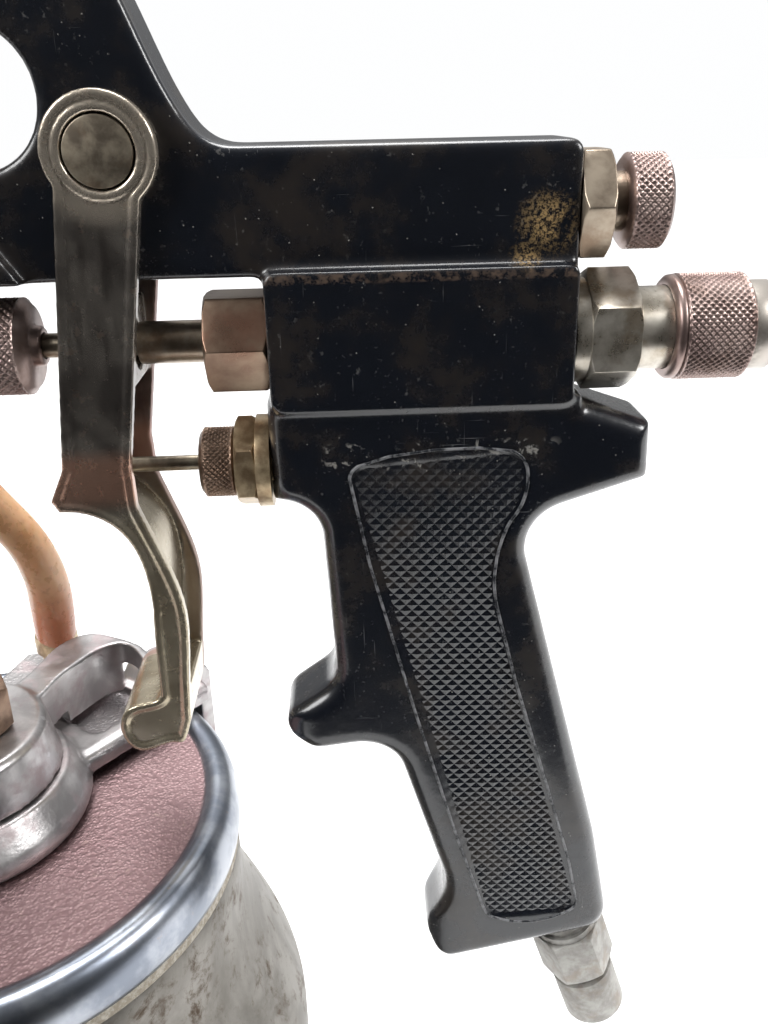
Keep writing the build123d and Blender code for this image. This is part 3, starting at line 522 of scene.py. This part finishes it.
def lathe(name, profile, axis, centre, segments, radius_of=None):
    """Mesh turned about an axis through centre from (distance, radius) points, in mm.

    radius_of(distance, angle, radius) may change the radius at each point."""
    axis = Vector(axis).normalized()
    side = axis.orthogonal().normalized()
    if abs(axis.z) < 0.9:
        side = Vector((0, 0, 1)).cross(axis).normalized()
    other = axis.cross(side)
    angles = [2 * math.pi * i / segments for i in range(segments)]
    verts, faces, rings = [], [], []
    for along, radius in profile:
        if radius < 1e-6:
            rings.append([len(verts)])
            verts.append((Vector(centre) + axis * along) * MM)
            continue
        rings.append(list(range(len(verts), len(verts) + segments)))
        for angle in angles:
            r = radius_of(along, angle, radius) if radius_of else radius
            out = side * math.cos(angle) + other * math.sin(angle)
            verts.append((Vector(centre) + axis * along + out * r) * MM)
    for a, b in zip(rings, rings[1:]):
        for i in range(segments):
            j = (i + 1) % segments
            face = [a[i % len(a)], a[j % len(a)], b[j % len(b)], b[i % len(b)]]
            face = list(dict.fromkeys(face))
            if len(face) > 2:
                faces.append(face)
    mesh = bpy.data.meshes.new(name)
    mesh.from_pydata(verts, [], faces)
    with edited(mesh) as bm:
        bmesh.ops.remove_doubles(bm, verts=bm.verts, dist=WELD / 10)
        bmesh.ops.recalc_face_normals(bm, faces=bm.faces)
    return mesh


def prism(name, outline, axis, low, high):
    """Closed solid over an outline, between two levels along Y (axis 1) or Z (axis 2), in mm."""
    mesh = bpy.data.meshes.new(name)
    with edited(mesh) as bm:
        ring = []
        for point in outline:
            spot = [c * MM for c in point]
            spot.insert(axis, low * MM)
            ring.append(bm.verts.new(spot))
        top = bmesh.ops.extrude_face_region(bm, geom=[bm.faces.new(ring)])
        for vertex in (v for v in top["geom"] if isinstance(v, bmesh.types.BMVert)):
            vertex.co[axis] = high * MM
        bmesh.ops.recalc_face_normals(bm, faces=bm.faces)
    return mesh


def tube(name, radius, facets, steps=12, caps=True):
    """Data for a round tube along a curve, with a radius in mm and no spline yet."""
    data = bpy.data.curves.new(name, "CURVE")
    data.dimensions = "3D"
    data.bevel_depth, data.bevel_resolution, data.resolution_u = radius * MM, facets, steps
    data.use_fill_caps = caps
    return data


def meshed(curve):
    """The mesh of a curve's tube."""
    maker = place("maker", curve)
    mesh = bpy.data.meshes.new_from_object(maker)
    bpy.data.objects.remove(maker)
    return mesh


def knurl(start, end, radius, pitch, depth):
    """Diamond knurling between two distances along a knob's axis, all in mm.

    It gives the rule for the radius, the samples along the axis, and the segments around it."""
    samples_per_ridge = 8
    around = round(2 * math.pi * radius / pitch)

    def ridge(t):
        return 1 - abs(2 * (t % 1) - 1)

    def rule(along, angle, r):
        if not start <= along <= end:
            return r
        turn = angle * around / (2 * math.pi)
        peak = min(ridge(turn + along / pitch), ridge(turn - along / pitch))
        fade = min(1, (along - start) / 0.5, (end - along) / 0.5)
        return r - depth * (1 - min(1, 1.35 * peak)) * max(fade, 0.15)

    steps = round((end - start) / pitch * samples_per_ridge)
    samples = [start + (end - start) * i / steps for i in range(steps + 1)]
    return rule, samples, around * samples_per_ridge


def knurled(name, node, line_z, profile, stretch, pitch, depth, look, body):
    """A knob turned about a line along X from (x, radius) points, in mm.

    stretch is (start, end, radius) of its knurling, which stands in for the point (0, None)."""
    start, end, radius = stretch
    rule, samples, segments = knurl(start, end, radius, pitch, depth)
    whole = []
    for along, r in profile:
        whole += [(x, radius) for x in samples] if r is None else [(along, r)]
    mesh = lathe(name, whole, (1, 0, 0), (0, 0, line_z), segments, rule)
    return add_piece(name, shade(mesh, 62), look, (node,), body)


# ---------------------------------------------------------------- gun body, trigger and fittings
def make_trigger():
    """Trigger casting whose outer faces lie between raised rounded rims."""
    outside, near_outside, rim, fillet, depth = 9.75, 0.25, 0.9, 0.7, 0.38
    mesh = moulded(bare_mesh("trigger_casting", "trigger"), 0.34, 3)
    # Points of the flanges where the surface turns away from the outer face are on its outline
    flange_in, turned_away = 7.4, 0.6
    outline = [v for v in mesh.vertices
               if abs(v.normal.y) < turned_away and abs(v.co.y) > flange_in * MM]
    tree = kdtree.KDTree(len(outline))
    for i, vertex in enumerate(outline):
        tree.insert((vertex.co.x, 0, vertex.co.z), i)
    tree.balance()
    for vertex in mesh.vertices:
        if abs(vertex.co.y) > (outside - near_outside) * MM:
            reach = tree.find((vertex.co.x, 0, vertex.co.z))[2] / MM
            drop = min(1, max(0, (reach - rim) / fillet))
            vertex.co.y -= math.copysign(depth * MM * drop**2 * (3 - 2 * drop), vertex.co.y)
    add_piece("trigger_casting", shade(mesh, 80), "trigger", ("trigger",), "trigger")


def recess_floor(side):
    """The outline of the grip panel's recess on one side, as an ordered list of (x, z) in mm."""
    level, highest, near_level = side * 7.5, 192, 0.01
    bm = bmesh.new()
    bm.from_mesh(NODES["gun_body"].data)
    bmesh.ops.remove_doubles(bm, verts=bm.verts, dist=WELD)
    floor = {f for f in bm.faces if all(abs(v.co.y / MM - level) < near_level for v in f.verts)
             and all(v.co.z < highest * MM for v in f.verts)}
    bmesh.ops.delete(bm, geom=[f for f in bm.faces if f not in floor], context="FACES")
    rim = {}
    for edge in bm.edges:
        if len(edge.link_faces) == 1:
            for a, b in (edge.verts, reversed(edge.verts)):
                rim.setdefault(a, []).append(b)
    start = max(rim, key=lambda v: v.co.z)
    loop, here, last = [start], rim[start][0], start
    while here is not start:
        loop.append(here)
        here, last = next(v for v in rim[here] if v is not last), here
    outline = [(v.co.x / MM, v.co.z / MM) for v in loop]
    bm.free()
    return outline


def shrunk(outline, gap):
    """The outline moved inwards by a gap."""
    area = sum(a[0] * b[1] - b[0] * a[1] for a, b in zip(outline, outline[1:] + outline[:1]))
    points = [Vector(p) for p in outline]
    result = []
    for before, here, after in zip(points[-1:] + points[:-1], points, points[1:] + points[:1]):
        one, two = (here - before).normalized(), (after - here).normalized()
        inward = [Vector((-d.y, d.x)) * math.copysign(1, area) for d in (one, two)]
        half = (inward[0] + inward[1]).normalized()
        result.append(tuple(here + half * gap / max(0.3, half.dot(inward[0]))))
    return result


def lip(outline, level, radius):
    """Thin rounded bead that runs around an (x, z) outline at one Y level, in mm."""
    data = tube("lip", radius, 3, 4, caps=False)
    spline = data.splines.new("BEZIER")
    spline.bezier_points.add(len(outline) - 1)
    spline.use_cyclic_u = True
    for point, (x, z) in zip(spline.bezier_points, outline):
        point.co = (x * MM, level * MM, z * MM)
        point.handle_left_type = point.handle_right_type = "AUTO"
    return shade(meshed(data), 80)


GRIP_PITCH = 1.5  # of the chequering, in mm


def lattice(middle, count, side, floor):
    """Low pyramids on a slanted square grid round an (x, z) point, on a slab into the grip."""
    pitch, slant, valley, peak, slab = GRIP_PITCH, math.radians(43), 0.08, 0.29, 0.6
    along = Vector((math.cos(slant), math.sin(slant))) * pitch
    across = Vector((-math.sin(slant), math.cos(slant))) * pitch
    mesh = bpy.data.meshes.new("grip_panel")
    with edited(mesh) as bm:

        def point(i, j, rise):
            x, z = middle + along * i + across * j
            return bm.verts.new((x * MM, side * (floor + rise) * MM, z * MM))

        span = range(-count, count + 1)
        corners = {(i, j): point(i, j, valley) for i in span for j in span}
        for i in span[:-1]:
            for j in span[:-1]:
                ring = [corners[i, j], corners[i + 1, j], corners[i + 1, j + 1], corners[i, j + 1]]
                top = point(i + 0.5, j + 0.5, peak)
                for a, b in zip(ring, ring[1:] + ring[:1]):
                    bm.faces.new((a, b, top))
        border = [e for e in bm.edges if len(e.link_faces) == 1]
        walls = bmesh.ops.extrude_edge_only(bm, edges=border)
        for vertex in (v for v in walls["geom"] if isinstance(v, bmesh.types.BMVert)):
            vertex.co.y = side * (floor - slab) * MM
        bmesh.ops.holes_fill(bm, edges=[e for e in bm.edges if len(e.link_faces) == 1])
        bmesh.ops.recalc_face_normals(bm, faces=bm.faces)
    return mesh


def make_grip_panel(side):
    """Diamond chequering in the recess on one side of the grip, and the bead round it."""
    floor, margin, cut_in, cut_out = 7.52, 0.6, 0.3, 9
    lip_y, lip_r = 7.93, 0.26
    recess = recess_floor(side)
    outline = shrunk(recess, margin)
    xs, zs = [x for x, _ in outline], [z for _, z in outline]
    middle = Vector(((min(xs) + max(xs)) / 2, (min(zs) + max(zs)) / 2))
    count = math.ceil(math.hypot(max(xs) - min(xs), max(zs) - min(zs)) / GRIP_PITCH / 2) + 1
    pyramids = lattice(middle, count, side, floor)
    cutter = place("cutter", prism("cutter", outline, 1, side * (floor - cut_in), side * cut_out))
    mesh = worked(pyramids, ("BOOLEAN", {"operation": "INTERSECT", "solver": "EXACT",
                                         "object": cutter}))
    bpy.data.objects.remove(cutter)
    sign = "near" if side < 0 else "far"
    add_piece("grip_panel_" + sign, shade(mesh, 20), "paint")
    add_piece("panel_lip_" + sign, lip(recess, side * lip_y, lip_r), "worn")


cast("body_casting", "gun_body", 0.55, 9, "paint")
make_trigger()
for side in (-1, 1):
    make_grip_panel(side)

for node, edge, look in (
    ("needle_guide_nut", 0.3, "tarnish"), ("rear_bushing", 0.3, "silver"),
    ("fan_bushing", 0.3, "nickel"), ("air_valve_body", 0.25, "brass"),
    ("stem_lock_nut", 0.4, "bronze"), ("head_coupling_nut", 0.4, "nickel"),
    ("air_inlet", 0.4, "zinc"), ("fluid_inlet_stem", 0.2, "nickel"),
    ("lid_barb", 0.2, "brass"), ("head_nipple", 0.3, "brass"),
    ("trigger_screw", 0.25, "steel"), ("trigger_nut", 0.25, "steel"),
    ("fluid_nozzle", 0.15, "steel"), ("air_baffle", 0.15, "brass"),
    ("cup_pins", 0.3, "steel"), ("pickup_strainer", 0.2, "packing"),
):
    machined(node + "_piece", node, edge, look)
machined("air_cap_piece", "air_cap", 0.3, "nickel", "air_cap")
machined("needle_piece", "fluid_needle", 0.1, "steel", "needle")
machined("sleeve_piece", "needle_sleeve", 0.2, "nickel", "needle")
machined("valve_stem_piece", "air_valve_stem", 0.1, "steel", "air_valve")
machined("valve_poppet_piece", "air_valve_poppet", 0.1, "brass", "air_valve")
machined("fan_stem_piece", "fan_stem", 0.2, "nickel", "fan_valve")


def make_spring(name, node, line_z, ends, radius, wire, turns):
    """Compression spring along X, in mm."""
    start, end = ends
    steps = 24 * turns
    data = tube(name, wire / 2, 3)
    spline = data.splines.new("POLY")
    spline.points.add(steps)
    for i, point in enumerate(spline.points):
        along = start + wire + (end - start - 2 * wire) * i / steps
        angle = 2 * math.pi * turns * i / steps
        y, z = radius * math.sin(angle), line_z + radius * math.cos(angle)
        point.co = (along * MM, y * MM, z * MM, 1)
    spring = add_piece(name, shade(meshed(data), 60), "steel", (node,))
    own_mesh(spring)


make_spring("needle_spring_coil", "needle_spring", NEEDLE_Z, (103.1, 137.9), 3.4, 0.9, 11)
make_spring("valve_spring_coil", "air_valve_spring", VALVE_Z, (76.1, 95.9), 3.2, 0.8, 7)

# CAD nodes whose shape is right as it is
for node, look in (
    ("pickup_tube", "steel"), ("needle_packing", "packing"), ("lid_gasket", "gasket"),
):
    NODES[node].data.materials.clear()
    NODES[node].data.materials.append(LOOKS[look])

# Knurled pieces: rear and fan knobs, packing nut, air valve nut and retaining ring
knurled(
    "fluid_knob_piece", "fluid_knob", NEEDLE_Z,
    [(126.4, 6.6), (126.4, 7.6), (126.9, 8.1), (127.6, 8.2), (127.9, 7.9), (0, None), (138.4, 8.0),
     (138.8, 7.4), (138.8, 7.0), (142.4, 7.0), (142.9, 6.5), (143.0, 6.0), (143.0, 0), (138, 0),
     (138, 4.6), (132.4, 4.6), (132.4, 6.6), (126.4, 6.6)],
    (128.1, 138.2, 8.3), 1.15, 0.40, "knurl", "fluid_knob",
)
knurled(
    "fan_knob_piece", "fan_knob", FAN_Z,
    [(118.2, 4.4), (118.2, 6.2), (118.6, 6.7), (0, None), (124.2, 6.7), (124.6, 6.1), (124.6, 0),
     (122, 0), (122, 4.4), (118.2, 4.4)],
    (118.8, 124.0, 7.0), 1.15, 0.36, "knurl", "fan_valve",
)
knurled(
    "packing_nut_piece", "packing_nut", NEEDLE_Z,
    [(8, 2.1), (8, 5), (14, 5), (14, 6.5), (15.2, 7.1), (0, None), (26.8, 7.1), (27.6, 6.4),
     (27.6, 3.6), (27.9, 3.2), (28.9, 3.1), (29.2, 2.8), (29.2, 2.1), (8, 2.1)],
    (15.3, 26.7, 7.5), 1.3, 0.42, "knurl", "gun",
)
knurled(
    "valve_nut_piece", "air_valve_nut", VALVE_Z,
    [(51.8, 1.3), (51.8, 4.9), (52.3, 5.5), (0, None), (57.2, 5.5), (57.6, 5.1), (57.6, 1.3),
     (51.8, 1.3)],
    (52.4, 57.1, 5.75), 1.0, 0.34, "bronze", "gun",
)
knurled(
    "retaining_ring_piece", "retaining_ring", NEEDLE_Z,
    [(-32, 13.0), (-33, 14.2), (-32.4, 15.6), (-31, 16.3), (0, None), (-14.2, 16.3),
     (-12.4, 15.4), (-12.4, 13.8), (-29.1, 13.8), (-29.1, 14.0), (-30, 14.0), (-30, 13.0),
     (-32, 13.0)],
    (-30.6, -15, 16.5), 1.6, 0.45, "nickel", "retaining_ring",
)


# ---------------------------------------------------------------- cup, lid, yoke and lever
def arc(centre, radius, start, end, steps):
    """Points of an arc in (distance, radius) space, angles in degrees from the radius axis."""
    turns = [math.radians(start + (end - start) * i / steps) for i in range(steps + 1)]
    return [(centre[0] + radius * math.sin(t), centre[1] + radius * math.cos(t)) for t in turns]


CUP_NECK_R = 50.9


def shoulder(inset):
    """The cup's S-shaped shoulder between its wall and its neck, set in by a wall's thickness."""
    low, high, wide, narrow, steps = 57.0, 96.0, CUP_R - inset, CUP_NECK_R - inset, 26
    points = []
    for i in range(steps + 1):
        t = i / steps
        z = low + (high - low) * t
        points.append((z, wide + (narrow - wide) * (3 * t**2 - 2 * t**3)))
    return points


def make_cup():
    """Spun cup, as a closed profile of (height, radius) points outside and then inside."""
    outer = [(0, 0), (0, 40), (0, 52.4)] + arc((7.6, 53.0), 7.6, -90, -4, 10)
    outer += [(24, 61.5), (40, CUP_R), (48, CUP_R)] + shoulder(0)
    outer += [(100, CUP_NECK_R), (105.4, CUP_NECK_R), (106, 50.4), (106, 46), (105.4, 45.5),
              (104.5, 45.6)]
    inner = [(104.3, 49.0), (100, 49.4)] + shoulder(1.5)[::-1]
    inner += [(48, 60.7), (40, 60.7), (12, 59.4)] + arc((8.4, 52.6), 6.6, -4, -90, 8)
    inner += [(1.8, 40), (1.8, 0)]
    mesh = lathe("cup_shell", outer + inner, (0, 0, 1), (0, 0, 0), 256)
    add_piece("cup_shell", shade(mesh, 40), "cup", ("cup",))


def make_lid():
    """Lid with a pebbled disc and a rolled, polished rim."""
    top, hole, rings, segments = 116.7, 6, 110, 420
    disc = [(top, hole + (LID_DISC_R - hole) * i / rings) for i in range(rings + 1)]
    rim = [(116.8, 45.3), (117.25, 45.8), (117.75, 46.7), (118.0, 47.7), (117.9, 48.7),
           (117.35, 49.7), (116.4, 50.55), (115.0, 51.2), (113.2, 51.6), (111.2, 51.7),
           (109.4, 51.55), (108.3, 51.3), (108.0, 50.9)]
    under = [(108.0, 44), (109, 43.4), (113.2, 43.0), (114.0, 42.2), (114.0, hole), (top, hole)]
    mesh = lathe("lid_shell", disc + rim + under, (0, 0, 1), (0, 0, 0), segments)
    # Coarse and finer dimples over the disc, fading out towards its edge
    depth, edge, fade = 0.09, LID_DISC_R + 0.1, 1.5
    for vertex in mesh.vertices:
        x, y, z = vertex.co / MM
        reach = math.hypot(x, y)
        if z > top - 0.2 and reach < edge:
            height = noise.noise(Vector((x, y, 0)) * 1.15)
            height += 0.5 * noise.noise(Vector((x, y, 9)) * 2.4)
            vertex.co.z += depth * MM * height * min(1, (edge - reach) / fade)
    add_piece("lid_shell", shade(mesh, 50), "lid", ("cup_lid",))


def make_pad():
    """Raised cast pad on the lid, under the hose barb."""
    outline = [(-5, 24.2), (6, 24.2), (9.4, 23), (9.9, 28), (12.4, 33), (15.2, 38.2),
               (14.4, 42.2), (11.2, 44.4), (6.6, 44.3), (0.6, 43), (-2, 34)]
    mesh = moulded(prism("barb_pad", outline, 2, 116.3, 126.0), 0.5, 7)
    add_piece("barb_pad", shade(mesh, 80), "pad", ("cup_lid",))


make_cup()
make_lid()
make_pad()
cast("yoke_casting", "cup_yoke", 0.5, 6, "cast")
cast("lever_casting", "cam_lever", 0.45, 5, "cast", "cam_lever")


# ---------------------------------------------------------------- pressure hose
# The tube's run in part.py, in mm, and how much wider than its radius it is at each point:
# it bulges over the barb
HOSE_ROUTE = (
    (9.0, 39.5, 130.0), (9.9, 38.0, 140.0), (10.8, 35.0, 149.5), (9.2, 32.4, 159.0),
    (4.0, 31.2, 167.2), (-1.0, 30.0, 175.5), (-3.2, 27.6, 184.5), (-3.0, 24.5, 193.5),
)
HOSE_SWELL = (1.0, 1.12, 1.06, 1.0, 1.0, 1.0, 1.0, 1.0)
HOSE_R = 4.1


def make_collar():
    """Brass ferrule round the hose's lower end."""
    profile = [(129.2, 3.6), (129.2, 4.3), (129.6, 4.55), (132.6, 4.6), (133.3, 4.45), (133.6, 4.0)]
    mesh = lathe("hose_collar", profile + profile[:1], (0, 0, 1), (*HOSE_ROUTE[0][:2], 0), 64)
    add_piece("hose_collar", shade(mesh, 40), "brass")


def make_hose():
    """One smooth tube from the lid's barb to the nipple on the head."""
    data = tube("hose", HOSE_R, 12, 16)
    spline = data.splines.new("NURBS")
    spline.points.add(len(HOSE_ROUTE) - 1)
    for point, spot, swell in zip(spline.points, HOSE_ROUTE, HOSE_SWELL):
        point.co = (*(Vector(spot) * MM), 1)
        point.radius = swell
    spline.order_u = 3
    spline.use_endpoint_u = True
    data.materials.append(LOOKS["vinyl"])
    hose = place("hose", data)
    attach(hose, "gun")
    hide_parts("pressure_hose")


make_collar()
make_hose()


# ---------------------------------------------------------------- stage
def make_floor():
    """Pale floor that starts just in front of the gun, so that its paint mirrors the dark room."""
    wide, front, back = 3.0, -0.16, 4.0
    corners = [(-wide, front, 0), (wide, front, 0), (wide, back, 0), (-wide, back, 0)]
    mesh = bpy.data.meshes.new("floor")
    mesh.from_pydata(corners, [], [(0, 1, 2, 3)])
    finish = Finish("floor", Roughness=0.75)
    tone = finish.mix(finish.noise(60, 4), (0.88, 0.88, 0.88), (0.92, 0.92, 0.92))
    mesh.materials.append(finish.drive(Base_Color=tone))
    place("floor", mesh)


def make_world():
    """White surroundings, which metal mirrors as a room, bright above and behind, dark in front."""
    world = bpy.data.worlds.new("surroundings")
    bpy.context.scene.world = world
    world.use_nodes = True
    tree = world.node_tree
    background = tree.nodes["Background"]

    def node(kind, *inputs, **settings):
        made = tree.nodes.new(kind)
        for key, value in settings.items():
            setattr(made, key, value)
        for target, value in zip(made.inputs, inputs):
            if isinstance(value, bpy.types.NodeSocket):
                tree.links.new(value, target)
            elif value is not None:
                target.default_value = value
        return made

    # The four numbers of each range are from low, from high, to low and to high
    direction = node("ShaderNodeTexCoord").outputs["Generated"]
    split = node("ShaderNodeSeparateXYZ", direction)
    height = node("ShaderNodeMapRange", split.outputs["Z"], -0.25, 0.75, 0.03, 0.95)
    depth = node("ShaderNodeMapRange", split.outputs["Y"], -0.9, 0.5, 0.16, 1.0)
    patch_scale = 2.2
    patches = node("ShaderNodeTexNoise", direction, None, patch_scale)
    patch = node("ShaderNodeMapRange", patches.outputs["Fac"], 0.38, 0.62, 0.55, 1.35)
    glow = node("ShaderNodeMath", height.outputs[0], depth.outputs[0], operation="MULTIPLY")
    room = node("ShaderNodeMath", glow.outputs[0], patch.outputs[0], operation="MULTIPLY")
    seen = node("ShaderNodeLightPath").outputs["Is Camera Ray"]
    strength = node("ShaderNodeMix", seen, None, room.outputs[0], 1.0, data_type="FLOAT")
    background.inputs["Color"].default_value = (0.99, 0.995, 1.0, 1)
    tree.links.new(strength.outputs[0], background.inputs["Strength"])


def make_lights():
    """A broad soft sun for even light, and three soft panels for the shine on the metal."""
    sun = bpy.data.lights.new("sun", "SUN")
    sun.energy, sun.angle = 2.6, math.radians(40)
    place("sun", sun).rotation_euler = (math.radians(-18), math.radians(-14), 0)
    middle = Vector((0.05, 0, 0.17))
    for name, spot, size, power in (
        ("left_panel", (-0.55, -0.35, 0.65), 0.35, 5.0),
        ("top_panel", (0.15, 0.10, 0.95), 0.40, 6.0),
        ("right_panel", (0.70, -0.20, 0.55), 0.25, 3.0),
    ):
        light = bpy.data.lights.new(name, "AREA")
        light.energy, light.size = power, size
        lamp = place(name, light)
        lamp.location = spot
        lamp.rotation_euler = (middle - Vector(spot)).to_track_quat("-Z", "Y").to_euler()


make_floor()
make_world()
make_lights()
bpy.context.scene.view_settings.view_transform = "Standard"
